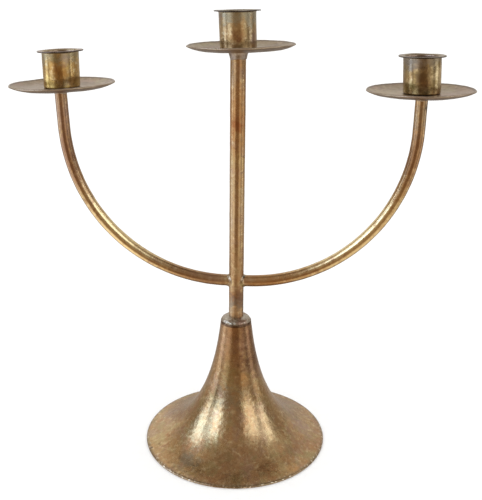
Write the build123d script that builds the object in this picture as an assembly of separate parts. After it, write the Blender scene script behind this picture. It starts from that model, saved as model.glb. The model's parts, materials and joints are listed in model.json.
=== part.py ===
"""Three-light tabletop candelabra in raised and soldered brass, in millimetres.

The frame has +Z up, and its origin is the centre of the foot on the surface that it stands on.
The side arms lie in the XZ plane, the left one towards -X, and the front faces -Y.

Each light stands on a seat, the end of a rod: a drip pan, a candle cup on it, one screw through
both into the rod, and solder round the joint below. The seats were filed by hand, so each has
its own small tilt, and its pan and cup sit a little off the rod's axis.
"""
from build123d import *
import os
from math import radians, sin

# ---- foot: a trumpet raised from one sheet -------------------------------------------------
FOOT_RADIUS = 70.0
EDGE_HEIGHT = 1.6               # the edge is hammered back until it is thicker than the sheet
EDGE_WIDTH = 2.0                # the flat ring that the foot stands on
NECK_RADIUS = 11.4
NECK_HEIGHT = 100.0
NECK_WALL = 1.2
SKIRT_SLOPE = 14.0              # degrees above level at the edge
NECK_SLOPE = 6.5                # degrees off plumb at the neck
OUTER_PULLS = (42.0, 46.0)      # how strongly the flare keeps to each slope: skirt, neck
INNER_PULLS = (43.0, 38.0)      # the inside's, which bring the wall down to the sheet's
PLUG_LENGTH = 12.0              # the bush inside the neck

# ---- rods ----------------------------------------------------------------------------------
STEM_RADIUS = 5.4
ARM_RADIUS = 4.2
ARM_HEIGHT = 132.0              # where the arms meet the stem
ARM_BEND = 115.0                # centreline radius of the bend
TENON_RADIUS = 2.5
TENON_GAP = 0.3                 # from the stem's axis to the end of each tenon

# ---- drip pans and candle cups -------------------------------------------------------------
PAN_SHEET = 1.0
PAN_FLOOR_RADIUS = 24.0         # flat as far as this, then curling up
PAN_CURL = 28.0                 # degrees turned by the rim
CUP_RADIUS = 12.4               # roomy for candles of 22 mm
CUP_WALL = 0.8
CUP_HEIGHT = 24.6
CUP_CORNER = 2.0                # outside radius round the cup's floor
LIP_RADIUS = 15.6
LIP_BEND = 1.6                  # bore-side radius where the wall turns out into the lip

# ---- screws --------------------------------------------------------------------------------
SCREW_RADIUS = 2.0
SCREW_DEPTH = 9.0               # into the rod, below the pan
SCREW_HEAD_RADIUS = 3.5
SCREW_HEAD_HEIGHT = 1.2         # low, so that a candle still stands square on it
SLOT_WIDTH = 1.0
SLOT_DEPTH = 0.7

# ---- solder --------------------------------------------------------------------------------
NECK_SOLDER_RADIUS = 11.0
NECK_SOLDER_HEIGHT = 5.2
ARM_SOLDER_THICKNESS = 0.9
ARM_SOLDER_REACH = 1.9          # along the arm, from the stem's surface
SOLDER_TIP = 0.2                # how thick the solder still is where it ends
SOLDER_OVERLAP = 0.5            # a ring under a pan starts this far inside its rod, then is cut

# ---- lights --------------------------------------------------------------------------------
# seat_height: top of the rod on its axis. tilt: degrees that the seat rises towards +X.
# pan_shift, cup_shift: along the seat, from the rod's axis to the pan's and the cup's.
# side: -1 for the left arm, 1 for the right. straight: from the stem's axis to the bend.
LIGHTS = {
    "left": dict(
        seat_height=269.5, tilt=2.0, pan_radius=36.0, pan_shift=1.8, cup_shift=2.0,
        rod_radius=ARM_RADIUS, solder_thickness=0.7, solder_height=3.0,
        side=-1, straight=7.4, bend_angle=88.3,
    ),
    "center": dict(
        seat_height=297.2, tilt=1.8, pan_radius=36.6, pan_shift=1.9, cup_shift=0.0,
        rod_radius=STEM_RADIUS, solder_thickness=1.8, solder_height=4.6,
    ),
    "right": dict(
        seat_height=270.4, tilt=1.4, pan_radius=36.0, pan_shift=-1.2, cup_shift=-0.9,
        rod_radius=ARM_RADIUS, solder_thickness=0.7, solder_height=3.4,
        side=1, straight=8.2, bend_angle=90.0,
    ),
}


def turned(outline):
    """Revolve a closed outline, drawn as radius and height, about Z."""
    return revolve(Plane.XZ * make_face(outline), Axis.Z)


def along_x(radius, start, end):
    """A round bar at the arms' height, between two places on X."""
    middle = Pos((start + end) / 2, 0, ARM_HEIGHT)
    return middle * Rot(0, 90, 0) * Cylinder(radius, abs(end - start))


# ---- foot ----------------------------------------------------------------------------------
def flare_curve(edge, neck, pulls):
    """The flare between a point on the edge and a point on the neck, each radius and height."""
    skirt = Vector(-1, 0).rotate(Axis.Z, -SKIRT_SLOPE)
    throat = Vector(0, -1).rotate(Axis.Z, NECK_SLOPE)
    start = Vector(*edge)
    end = Vector(*neck)
    return Bezier(start, start + skirt * pulls[0], end + throat * pulls[1], end)


def inner_flare():
    neck = (NECK_RADIUS - NECK_WALL, NECK_HEIGHT)
    return flare_curve((FOOT_RADIUS - EDGE_WIDTH, 0), neck, INNER_PULLS)


def make_base_trumpet():
    outer = flare_curve((FOOT_RADIUS, EDGE_HEIGHT), (NECK_RADIUS, NECK_HEIGHT), OUTER_PULLS)
    inner = inner_flare()
    standing = Line(inner @ 0, (FOOT_RADIUS, 0))
    return turned([outer, Line(outer @ 1, inner @ 1), inner, standing, Line(standing @ 1, outer @ 0)])


def make_neck_plug(stem_round):
    """The bush that fills the top of the trumpet and holds the stem's foot."""
    flare = inner_flare()
    lid = Line(flare @ 1, (0, NECK_HEIGHT))
    axis = Line(lid @ 1, (0, 0))
    inside = turned([flare, lid, axis, Line(axis @ 1, flare @ 0)])
    middle = Pos(0, 0, NECK_HEIGHT - PLUG_LENGTH / 2)
    return inside & (middle * Cylinder(2 * NECK_RADIUS, PLUG_LENGTH)) - stem_round


def make_neck_solder():
    """A rounded shoulder of solder on the plug, round the stem."""
    top = NECK_HEIGHT + NECK_SOLDER_HEIGHT
    shoulder = Bezier(
        (NECK_SOLDER_RADIUS, NECK_HEIGHT),
        (NECK_SOLDER_RADIUS, NECK_HEIGHT + 0.7 * NECK_SOLDER_HEIGHT),
        (STEM_RADIUS + 0.6 * (NECK_SOLDER_RADIUS - STEM_RADIUS), top),
        (STEM_RADIUS, top),
    )
    bore = Line(shoulder @ 1, (STEM_RADIUS, NECK_HEIGHT))
    return turned([shoulder, bore, Line(bore @ 1, shoulder @ 0)])


# ---- seats ---------------------------------------------------------------------------------
def arm_bend(light):
    """The bend, drawn as X and height."""
    side = light["side"]
    start = (side * light["straight"], ARM_HEIGHT)
    return JernArc(start, (side, 0), ARM_BEND, side * light["bend_angle"])


def riser_point(light, height):
    """The arm's centreline above its bend, at a height."""
    bend = arm_bend(light)
    direction = bend % 1
    return (bend @ 1) + direction * ((height - (bend @ 1).Y) / direction.Y)


def seat(light):
    """The light's own frame: on the rod's axis at its top, with +Z out of the seat."""
    x = riser_point(light, light["seat_height"]).X if "side" in light else 0
    return Pos(x, 0, light["seat_height"]) * Rot(0, -light["tilt"], 0)


def filed_to_seat(rod, light):
    """Take off what stands above the seat, and drill the rod for the screw."""
    waste = 40.0
    above = seat(light) * Pos(0, 0, waste / 2) * Box(waste, waste, waste)
    return rod - above - screw_hole(light)


def screw_hole(light):
    """The screw's shank, from the bottom of its hole up through the pan and the cup's floor."""
    length = SCREW_DEPTH + PAN_SHEET + CUP_WALL
    return seat(light) * Pos(0, 0, length / 2 - SCREW_DEPTH) * Cylinder(SCREW_RADIUS, length)


# ---- rods ----------------------------------------------------------------------------------
def make_stem(stem_round):
    """The upright rod, cross-drilled for the arms' tenons."""
    cross_hole = along_x(TENON_RADIUS, -2 * STEM_RADIUS, 2 * STEM_RADIUS)
    return filed_to_seat(stem_round, LIGHTS["center"]) - cross_hole


def make_arm(light, stem_round):
    """A bent rod, coped to fit the stem, with a tenon on its inner end."""
    side = light["side"]
    bend = arm_bend(light)
    straight = Line((side * STEM_RADIUS / 2, ARM_HEIGHT), bend @ 0)
    riser = Line(bend @ 1, riser_point(light, light["seat_height"] + ARM_RADIUS))
    path = Plane.XZ * Wire([straight, bend, riser])
    section = Plane(origin=path @ 0, z_dir=path % 0) * Circle(ARM_RADIUS)
    rod = filed_to_seat(sweep(section, path=path), light) - stem_round
    tenon_end = STEM_RADIUS + ARM_SOLDER_REACH
    return rod + along_x(TENON_RADIUS, side * TENON_GAP, side * tenon_end)


def make_arm_solder(light, stem_round):
    """A collar of solder in the corner between an arm and the stem."""
    outside = ARM_RADIUS + ARM_SOLDER_THICKNESS
    root = Line((ARM_RADIUS, STEM_RADIUS / 2), (outside, STEM_RADIUS / 2))
    wall = Line(root @ 1, (outside, STEM_RADIUS))
    corner = (ARM_RADIUS + 0.3 * ARM_SOLDER_THICKNESS, STEM_RADIUS + 0.2 * ARM_SOLDER_REACH)
    tip = (ARM_RADIUS + SOLDER_TIP, STEM_RADIUS + ARM_SOLDER_REACH)
    hollow = Bezier(wall @ 1, corner, tip)
    end = Line(tip, (ARM_RADIUS, STEM_RADIUS + ARM_SOLDER_REACH))
    collar = turned([root, wall, hollow, end, Line(end @ 1, root @ 0)])
    return Pos(0, 0, ARM_HEIGHT) * Rot(0, 90 * light["side"], 0) * collar - stem_round


# ---- lights --------------------------------------------------------------------------------
def make_drip_pan(light):
    """A shallow dish of sheet, flat in the middle, with a rim that curls up."""
    outer_radius = (light["pan_radius"] - PAN_FLOOR_RADIUS) / sin(radians(PAN_CURL))
    under = Line((0, 0), (PAN_FLOOR_RADIUS, 0))
    under_curl = JernArc(under @ 1, (1, 0), outer_radius, PAN_CURL)
    floor = Line((0, PAN_SHEET), (PAN_FLOOR_RADIUS, PAN_SHEET))
    floor_curl = JernArc(floor @ 1, (1, 0), outer_radius - PAN_SHEET, PAN_CURL)
    rim = Line(under_curl @ 1, floor_curl @ 1)
    dish = turned([under, under_curl, rim, floor_curl, floor, Line(floor @ 0, under @ 0)])
    return seat(light) * Pos(light["pan_shift"], 0, 0) * dish - screw_hole(light)


def make_candle_cup(light):
    """A drawn cup with a floor, standing on the pan, its mouth turned out into a flat lip."""
    bore = CUP_RADIUS - CUP_WALL
    inside_corner = CUP_CORNER - CUP_WALL
    bend_height = CUP_HEIGHT - LIP_BEND
    under = Line((0, 0), (CUP_RADIUS - CUP_CORNER, 0))
    corner = JernArc(under @ 1, (1, 0), CUP_CORNER, 90)
    wall = Line(corner @ 1, (CUP_RADIUS, bend_height))
    lip_under_bend = JernArc(wall @ 1, (0, 1), LIP_BEND - CUP_WALL, -90)
    lip_under = Line(lip_under_bend @ 1, (LIP_RADIUS, CUP_HEIGHT - CUP_WALL))
    lip_edge = Line(lip_under @ 1, (LIP_RADIUS, CUP_HEIGHT))
    mouth_bend = JernArc((bore, bend_height), (0, 1), LIP_BEND, -90)
    lip = Line(lip_edge @ 1, mouth_bend @ 1)
    floor = Line((0, CUP_WALL), (CUP_RADIUS - CUP_CORNER, CUP_WALL))
    floor_corner = JernArc(floor @ 1, (1, 0), inside_corner, 90)
    bore_wall = Line(floor_corner @ 1, mouth_bend @ 0)
    axis = Line(floor @ 0, under @ 0)
    outline = [
        under, corner, wall, lip_under_bend, lip_under, lip_edge, lip,
        mouth_bend, bore_wall, floor_corner, floor, axis,
    ]
    standing = Pos(light["cup_shift"], 0, PAN_SHEET)
    return seat(light) * standing * turned(outline) - screw_hole(light)


def make_cup_screw(light):
    """A cheese-head screw, down through the cup and the pan into the rod."""
    head_foot = PAN_SHEET + CUP_WALL
    head_top = head_foot + SCREW_HEAD_HEIGHT
    head = Cylinder(SCREW_HEAD_RADIUS, SCREW_HEAD_HEIGHT)
    slot = Box(3 * SCREW_HEAD_RADIUS, SLOT_WIDTH, SLOT_DEPTH)
    slotted = Pos(0, 0, head_foot + SCREW_HEAD_HEIGHT / 2) * head
    slotted -= Pos(0, 0, head_top - SLOT_DEPTH / 2) * slot
    return seat(light) * slotted + screw_hole(light)


def make_pan_solder(light, rod):
    """Solder drawn up into the corner between the rod and the pan's underside."""
    rod_radius = light["rod_radius"]
    inside = rod_radius - SOLDER_OVERLAP
    height = light["solder_height"]
    thickness = light["solder_thickness"]
    top = Line((inside, 0), (rod_radius + thickness, 0))
    corner = (rod_radius + 0.3 * thickness, -0.3 * height)
    hollow = Bezier(top @ 1, corner, (rod_radius + SOLDER_TIP, -height))
    end = Line(hollow @ 1, (inside, -height))
    ring = turned([top, hollow, end, Line(end @ 1, top @ 0)])
    return seat(light) * ring - rod


def make_all():
    """Every piece, by name."""
    stem_foot = NECK_HEIGHT - PLUG_LENGTH
    stem_length = LIGHTS["center"]["seat_height"] + STEM_RADIUS - stem_foot
    stem_round = Pos(0, 0, stem_foot + stem_length / 2) * Cylinder(STEM_RADIUS, stem_length)
    rods = {
        "left": make_arm(LIGHTS["left"], stem_round),
        "center": make_stem(stem_round),
        "right": make_arm(LIGHTS["right"], stem_round),
    }
    pieces = {
        "base_trumpet": make_base_trumpet(),
        "neck_plug": make_neck_plug(stem_round),
        "neck_solder": make_neck_solder(),
        "stem": rods["center"],
        "arm_left": rods["left"],
        "arm_right": rods["right"],
    }
    for side in ("left", "right"):
        pieces[f"crossing_solder_{side}"] = make_arm_solder(LIGHTS[side], stem_round)
    for name, light in LIGHTS.items():
        pieces[f"drip_pan_{name}"] = make_drip_pan(light)
        pieces[f"candle_cup_{name}"] = make_candle_cup(light)
        pieces[f"cup_screw_{name}"] = make_cup_screw(light)
        pieces[f"pan_solder_{name}"] = make_pan_solder(light, rods[name])
    return pieces


os.makedirs("parts", exist_ok=True)
for name, piece in make_all().items():
    export_step(piece, f"parts/{name}.step")
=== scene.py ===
"""Aged brass candelabra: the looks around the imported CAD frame. Metres throughout."""
import json

import bpy
import numpy as np
from mathutils import Matrix, Vector, kdtree, noise


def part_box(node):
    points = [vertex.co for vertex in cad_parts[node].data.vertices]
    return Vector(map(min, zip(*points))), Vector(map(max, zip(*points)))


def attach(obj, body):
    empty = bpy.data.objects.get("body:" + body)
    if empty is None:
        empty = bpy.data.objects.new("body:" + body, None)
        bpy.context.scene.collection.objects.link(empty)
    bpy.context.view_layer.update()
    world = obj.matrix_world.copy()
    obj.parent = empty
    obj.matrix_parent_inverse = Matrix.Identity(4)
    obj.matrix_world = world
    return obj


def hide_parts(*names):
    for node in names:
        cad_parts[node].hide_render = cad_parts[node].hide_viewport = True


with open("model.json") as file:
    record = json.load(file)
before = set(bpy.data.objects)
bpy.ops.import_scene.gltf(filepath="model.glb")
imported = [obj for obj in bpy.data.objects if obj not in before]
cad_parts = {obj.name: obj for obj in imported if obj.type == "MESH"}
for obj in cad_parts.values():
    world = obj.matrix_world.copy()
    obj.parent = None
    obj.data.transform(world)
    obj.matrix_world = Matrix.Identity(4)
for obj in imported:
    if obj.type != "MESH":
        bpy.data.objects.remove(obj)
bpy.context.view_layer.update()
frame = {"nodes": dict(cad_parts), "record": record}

MM = 0.001
NODES = frame["nodes"]
MOUNTS = {mount["name"]: mount for mount in frame["record"]["mounts"]}
LIGHTS = ("left", "center", "right")

# ---- camera ----
CAMERA_PLACE = (0.04237, -0.51068, 0.33898)
CAMERA_YAW = -4.385             # degrees, turned from +Y towards +X
CAMERA_PITCH = 19.672           # degrees below level
CAMERA_ROLL = 0.612             # degrees
CAMERA_LENS = 53.67             # mm
SENSOR_WIDTH = 36               # mm

# ---- sizes that the frame's boxes don't give ----
# The foot's section leaves its edge and its neck at these slopes. The pulls say how far each is
# felt, first the edge's and then the neck's.
SKIRT_SLOPE = 14.0              # degrees above level
NECK_SLOPE = 6.5                # degrees off plumb
OUTER_PULLS = (42 * MM, 46 * MM)
INNER_PULLS = (43 * MM, 38 * MM)
NECK_RADIUS = 11.4 * MM
NECK_WALL = 1.2 * MM
EDGE_HEIGHT = 1.6 * MM
EDGE_WIDTH = 2.0 * MM
EDGE_ROUND = 0.5 * MM
EDGE_ROUND_DROP = 0.55 * MM     # the rounding's middle below the edge's top
# The ring that it stands on: out from the foot's radius, and up.
STANDING_RING = ((-1.7 * MM, 0), (-0.7 * MM, 0), (-0.1 * MM, 0.4 * MM))

# The arms, cups and pans.
ARM_BEND = 115 * MM
ARM_TURN = {"left": 88.3, "right": 90.0}                    # degrees
SCREW_RADIUS = 2.0 * MM
CUP_WALL = 0.8 * MM
CUP_CORNER = 1.1 * MM
CUP_LEAN = {"left": 2.5, "center": -0.5, "right": -2.5}     # degrees, its top towards +X
LIP_BEND = 1.6 * MM
LIP_ROUND = 0.4 * MM
LIP_FLAT_END = 0.2 * MM         # in from the lip's edge
LIP_HEIGHT = 2 * MM
PAN_SHEET = 1.0 * MM
PAN_FLOOR_RADIUS = 24 * MM
PAN_CURL = 28.0                 # degrees that its rim turns up
RIM_ROUND = 0.12 * MM

# The solder. A collar has a thickness under the pan and a height down the rod.
COLLARS = {
    "left": (0.7 * MM, 3.0 * MM),
    "center": (2.7 * MM, 5.8 * MM),
    "right": (0.8 * MM, 3.4 * MM),
}
COLLAR_TIP = 0.2 * MM           # its thickness at its lower end
COLLAR_TOP = 0.3 * MM           # how far it goes up into the pan, out of sight
SOLDER_BITE = 0.4 * MM          # how far solder goes into a rod, out of sight
NECK_DOME_SAG = 1.8 * MM        # the neck's solder slumped this much below its full height
NECK_DOME_RISE = 0.4 * MM       # and creeps up the stem by this much
FILLET_TIP = 0.05 * MM
FILLET_ROOT = 0.5 * MM          # how far a fillet goes into the stem, out of sight

# ---- how even the pieces are ----
# Waves of a surface, each a height and a size.
FOOT_WAVES = [(0.10 * MM, 16 * MM)]
STEM_WAVES = [(0.07 * MM, 9 * MM), (0.03 * MM, 2.2 * MM)]
ARM_WAVES = [(0.06 * MM, 8 * MM), (0.03 * MM, 2.2 * MM)]
PAN_WAVES = [(0.35 * MM, 30 * MM), (0.1 * MM, 5 * MM)]
CUP_WAVES = [(0.12 * MM, 11 * MM), (0.02 * MM, 3 * MM)]
LIP_WAVES = [(0.3 * MM, 12 * MM)]
SOLDER_WAVES = [(1.0, 4 * MM), (0.5, 1.6 * MM)]             # heights in parts of its roughness
SOLDER_ROUGH = {"neck": 0.22 * MM, "collar": 0.16 * MM, "fillet": 0.08 * MM}
HAMMER_SEED = 7
SEEDS = {
    "foot": 1, "pan": 2, "cup": 11, "stem": 21, "arm": 31, "neck": 41, "collar": 51, "fillet": 61,
}

# The foot's hammer blows. Rows, strays and widths are in parts of their spacing.
BLOW_SPACING = 3.4 * MM
BLOW_ROW_SPACING = 0.87
BLOW_STRAY_IN_ROW = 0.3
BLOW_STRAY_ACROSS = 0.35
BLOW_WIDTH = 0.75
BLOW_STRENGTHS = (0.55, 1.0)
BLOW_DEPTH = 0.085 * MM

# How many points go round each kind of piece.
AROUND = {"foot": 480, "pan": 240, "cup": 160, "neck": 120, "fillet": 72, "stem": 64, "arm": 48}


# ======== mesh tools ========
def ring_mesh(name, rings, closed=False, caps=(False, False)):
    """A mesh from rings of points, each joined to the next and, if closed, the last to the first."""
    count, around, _ = rings.shape
    points = [tuple(p) for p in rings.reshape(-1, 3)]
    faces = []
    for i in range(count if closed else count - 1):
        a = i * around
        b = ((i + 1) % count) * around
        for j in range(around):
            k = (j + 1) % around
            faces.append((a + j, a + k, b + k, b + j))
    for wanted, i, order in ((caps[0], 0, -1), (caps[1], count - 1, 1)):
        if wanted:
            middle = len(points)
            points.append(tuple(rings[i].mean(axis=0)))
            for j in range(around)[::order]:
                k = (j + order) % around
                faces.append((i * around + j, i * around + k, middle))
    mesh = bpy.data.meshes.new(name)
    mesh.from_pydata(points, [], faces)
    mesh.polygons.foreach_set("use_smooth", [True] * len(mesh.polygons))
    mesh.update()
    piece = bpy.data.objects.new(name, mesh)
    bpy.context.scene.collection.objects.link(piece)
    return piece


def ring_normals(rings, closed):
    """Outward normals of a grid of rings."""
    across = np.roll(rings, -1, axis=1) - np.roll(rings, 1, axis=1)
    if closed:
        along = np.roll(rings, -1, axis=0) - np.roll(rings, 1, axis=0)
    else:
        along = np.gradient(rings, axis=0)
    normal = np.cross(across, along)
    length = np.linalg.norm(normal, axis=2, keepdims=True)
    return normal / np.maximum(length, 1e-12)


def on_rings(values, rings):
    """One value for each ring, repeated for all its points."""
    return np.broadcast_to(values[:, None], rings.shape[:2])


def add_value(piece, name, values):
    """Store one number per vertex, for the materials."""
    attribute = piece.data.attributes.new(name, "FLOAT", "POINT")
    padded = np.zeros(len(piece.data.vertices), np.float32)
    padded[: values.size] = values.reshape(-1)
    attribute.data.foreach_set("value", padded)


def lumps(points, size, seed, octaves=2):
    """Smooth noise between about -1 and 1 with bumps of this size, at each point."""
    shift = Vector((seed * 13.7, seed * 5.3, seed * 9.1))
    flat = points.reshape(-1, 3)
    values = [noise.fractal(Vector(p) / size + shift, 0.9, 2.0, octaves) for p in flat]
    return np.array(values).reshape(points.shape[:-1])


def waves(points, kinds, seeds):
    """Smooth noise added up from kinds of a height and a size, each with its own seed."""
    return sum(height * lumps(points, size, seed) for (height, size), seed in zip(kinds, seeds))


def lumps_round(angle, size, seed):
    """Smooth noise round a circle of radius 1, at each angle."""
    return lumps(np.stack([np.cos(angle), np.sin(angle), 0 * angle], axis=-1), size, seed)


def smoothstep(low, high, x):
    t = np.clip((x - low) / (high - low), 0, 1)
    return t * t * (3 - 2 * t)


def span(values):
    """The middle and the half width of some numbers."""
    return (values.min() + values.max()) / 2, (values.max() - values.min()) / 2


def circle(count):
    """Angles all the way round."""
    return np.linspace(0, 2 * np.pi, count, endpoint=False)


def bezier(points, count):
    """Points along a cubic Bezier curve."""
    t = np.linspace(0, 1, count)[:, None]
    a, b, c, d = (np.array(p, float) for p in points)
    return (1 - t) ** 3 * a + 3 * (1 - t) ** 2 * t * b + 3 * (1 - t) * t**2 * c + t**3 * d


def arc(centre, radius, start, end, count):
    """An arc of a section, between two angles in degrees."""
    angle = np.radians(np.linspace(start, end, count))
    return np.array(centre) + radius * np.stack([np.cos(angle), np.sin(angle)], axis=1)


def straight(start, end, step):
    """A straight of a section with a point about every step, ends left out."""
    start, end = np.array(start, float), np.array(end, float)
    count = max(2, int(np.linalg.norm(end - start) / step))
    t = np.linspace(0, 1, count + 1)[1:-1, None]
    return start + (end - start) * t


def length_along(curve):
    """How far along a curve each of its points lies."""
    return np.r_[0, np.cumsum(np.linalg.norm(np.diff(curve, axis=0), axis=1))]


def evenly(curve, step):
    """The curve again, with its points spaced evenly."""
    gone = length_along(curve)
    places = np.linspace(0, gone[-1], max(2, int(gone[-1] / step)) + 1)
    return np.stack([np.interp(places, gone, curve[:, i]) for i in range(2)], axis=1)


def turn(section, around, drift=None):
    """Rings of a section of radius and height turned about Z, each moved along X by its drift."""
    angle = circle(around)
    radius, height = section[:, 0:1], section[:, 1:2]
    x = radius * np.cos(angle)
    if drift is not None:
        x = x + drift[:, None]
    return np.stack([x, radius * np.sin(angle), np.broadcast_to(height, x.shape)], axis=2)


# ======== hammer marks ========
def hammer_blows(section, rng):
    """Where a hammer fell on a turned surface: rows round it, evenly spaced but unevenly placed."""
    gone = length_along(section)
    blows = []
    for place in np.arange(BLOW_SPACING / 2, gone[-1], BLOW_SPACING * BLOW_ROW_SPACING):
        radius = np.interp(place, gone, section[:, 0])
        count = max(5, round(2 * np.pi * radius / BLOW_SPACING))
        first = rng.random()
        for k in range(count):
            stray = rng.uniform(-BLOW_STRAY_IN_ROW, BLOW_STRAY_IN_ROW)
            angle = 2 * np.pi * (k + first + stray) / count
            here = place + rng.uniform(-BLOW_STRAY_ACROSS, BLOW_STRAY_ACROSS) * BLOW_SPACING
            r = np.interp(here, gone, section[:, 0])
            z = np.interp(here, gone, section[:, 1])
            blows.append((r * np.cos(angle), r * np.sin(angle), z))
    return blows


def dents(points, blows, rng):
    """How deep each point lies in the nearest blow's dent: 1 in the middle, 0 on the ridges."""
    tree = kdtree.KDTree(len(blows))
    for i, blow in enumerate(blows):
        tree.insert(blow, i)
    tree.balance()
    strength = rng.uniform(*BLOW_STRENGTHS, len(blows))
    reach = BLOW_WIDTH * BLOW_SPACING
    depth = []
    for p in points.reshape(-1, 3):
        _, i, distance = tree.find(p)
        depth.append(strength[i] * max(0.0, 1 - (distance / reach) ** 2))
    return np.array(depth).reshape(points.shape[:-1])


# ======== material tools ========
# The Mix node has sockets for each kind of data; these are the ones for colours.
MIX_FACTOR, MIX_FIRST, MIX_SECOND, MIX_RESULT = 0, 6, 7, 2


class Nodes:
    """Short ways to add and link the nodes of one material or world."""

    def __init__(self, tree, place):
        """The place is the kind of coordinates that the patterns lie in."""
        tree.nodes.clear()
        self.tree = tree
        self.place = self.add("ShaderNodeTexCoord").outputs[place]

    def add(self, kind, **settings):
        node = self.tree.nodes.new(kind)
        for key, value in settings.items():
            setattr(node, key, value)
        return node

    def feed(self, socket, value):
        """Link an input to another node's output, or set it to a number, vector or colour."""
        if isinstance(value, bpy.types.NodeSocket):
            self.tree.links.new(value, socket)
        else:
            socket.default_value = value

    def put(self, node, **inputs):
        """Feed inputs by name, with underscores for spaces."""
        for key, value in inputs.items():
            self.feed(node.inputs[key.replace("_", " ")], value)
        return node

    def noise(self, size, detail, rough=0.55, warp=0.0, place=None):
        """Clouds of this size, at the place or at another one."""
        node = self.add("ShaderNodeTexNoise")
        where = self.place if place is None else place
        self.put(node, Vector=where, Scale=1 / size, Detail=detail, Roughness=rough, Distortion=warp)
        return node.outputs["Fac"]

    def ramp(self, value, low, high, out_low=0.0, out_high=1.0):
        """A smooth step from one value out to the other, while the value goes from low to high."""
        node = self.add("ShaderNodeMapRange", interpolation_type="SMOOTHSTEP")
        self.put(node, Value=value, From_Min=low, From_Max=high, To_Min=out_low, To_Max=out_high)
        return node.outputs["Result"]

    def math(self, operation, a, b=0.0):
        node = self.add("ShaderNodeMath", operation=operation)
        for socket, value in zip(node.inputs, (a, b)):
            self.feed(socket, value)
        return node.outputs[0]

    def plus(self, a, b):
        return self.math("ADD", a, b)

    def minus(self, a, b):
        return self.math("SUBTRACT", a, b)

    def times(self, a, b):
        return self.math("MULTIPLY", a, b)

    def mix(self, factor, first, second):
        """Mix two colours, each an output or red, green and blue."""
        node = self.add("ShaderNodeMix", data_type="RGBA")
        self.feed(node.inputs[MIX_FACTOR], factor)
        for place, colour in ((MIX_FIRST, first), (MIX_SECOND, second)):
            self.feed(node.inputs[place], (*colour, 1.0) if isinstance(colour, tuple) else colour)
        return node.outputs[MIX_RESULT]

    def bump(self, height, depth, normal=None):
        node = self.add("ShaderNodeBump")
        self.put(node, Height=height, Distance=depth)
        if normal is not None:
            self.put(node, Normal=normal)
        return node.outputs["Normal"]

    def vector_math(self, operation, *vectors):
        node = self.add("ShaderNodeVectorMath", operation=operation)
        for socket, vector in zip(node.inputs, vectors):
            self.feed(socket, vector)
        return node.outputs

    def moved(self, offset):
        """The place, shifted, so that one pattern differs from the next."""
        return self.vector_math("ADD", self.place, offset)["Vector"]

    def away(self, point):
        """How far the place is from a point."""
        return self.vector_math("DISTANCE", self.place, point)["Value"]

    def along(self, direction):
        """How far the place lies along a direction."""
        return self.vector_math("DOT_PRODUCT", self.place, direction)["Value"]

    def add_scaled(self, total, vector, scale):
        """The total plus a constant vector scaled by a value."""
        spread = self.add("ShaderNodeCombineXYZ")
        for socket in spread.inputs:
            self.feed(socket, scale)
        return self.vector_math("MULTIPLY_ADD", spread.outputs[0], vector, total)["Vector"]

    def stretched(self, scale, turn):
        """The place, scaled and then turned, for long streaks."""
        node = self.add("ShaderNodeMapping")
        self.put(node, Vector=self.place, Scale=scale, Rotation=turn)
        return node.outputs[0]

    def value(self, name):
        """The value that the mesh holds under a name."""
        return self.add("ShaderNodeAttribute", attribute_name=name).outputs["Fac"]

    def split(self):
        """The place's X, Y and Z."""
        node = self.add("ShaderNodeSeparateXYZ")
        self.put(node, Vector=self.place)
        return node.outputs


def new_material(name):
    """A plain material: itself, its nodes and its shader."""
    material = bpy.data.materials.new(name)
    material.use_nodes = True
    nodes = Nodes(material.node_tree, "Object")
    shader = nodes.add("ShaderNodeBsdfPrincipled")
    output = nodes.add("ShaderNodeOutputMaterial")
    nodes.put(output, Surface=shader.outputs[0])
    return material, nodes, shader


# ======== how metal ages ========
# The stains' numbers are in parts of a stain's radius.
GRIME_STRENGTH = 0.75
FLECK_STRENGTH = 0.6
DIRT_ROUGHNESS = 0.12           # what dirt adds to a metal's roughness
DULL_ROUGHNESS = 0.14           # and what tarnish adds
STAIN_OUTSIDE = 1.1             # where a stain starts
STAIN_INSIDE = 0.1              # and where it is full
STAIN_RAGGED = 2.8              # how far noise moves its edge about


def weathered(nodes, tones, sizes):
    """Mottled metal: its colour, and how grimy it is.

    The tones are those of grime, of most of the metal, of its clouds and of its rubbed patches.
    The sizes are those of clouds, patches and flecks.
    """
    grimy, usual, cloudy, rubbed = tones
    cloud, patch, fleck = sizes
    clouds = nodes.ramp(nodes.noise(cloud, 3), 0.40, 0.60)
    colour = nodes.mix(clouds, usual, cloudy)
    patches = nodes.ramp(nodes.noise(patch, 5, 0.6), 0.50, 0.68)
    colour = nodes.mix(patches, colour, rubbed)
    grime_and_shade = nodes.ramp(nodes.noise(1.4 * patch, 7, 0.68, 0.4), 0.53, 0.70)
    flecks = nodes.ramp(nodes.noise(fleck, 3, 0.6), 0.60, 0.72)
    grime_and_shade = nodes.times(grime_and_shade, GRIME_STRENGTH)
    flecks = nodes.times(flecks, FLECK_STRENGTH)
    dirt = nodes.math("MAXIMUM", grime_and_shade, flecks)
    return nodes.mix(dirt, colour, grimy), dirt


def tarnished(nodes, colour, films):
    """Large soft films of tarnish over a colour: each a tone, its size and how strong it is."""
    for i, (tone, size, strength) in enumerate(films):
        shifted = nodes.moved((0.31 * (i + 1), 0.17 * i, 0.23))
        cloud = nodes.noise(size, 5, 0.58, 0.6, shifted)
        colour = nodes.mix(nodes.ramp(cloud, 0.50, 0.64, 0.0, strength), colour, tone)
    return colour


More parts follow.
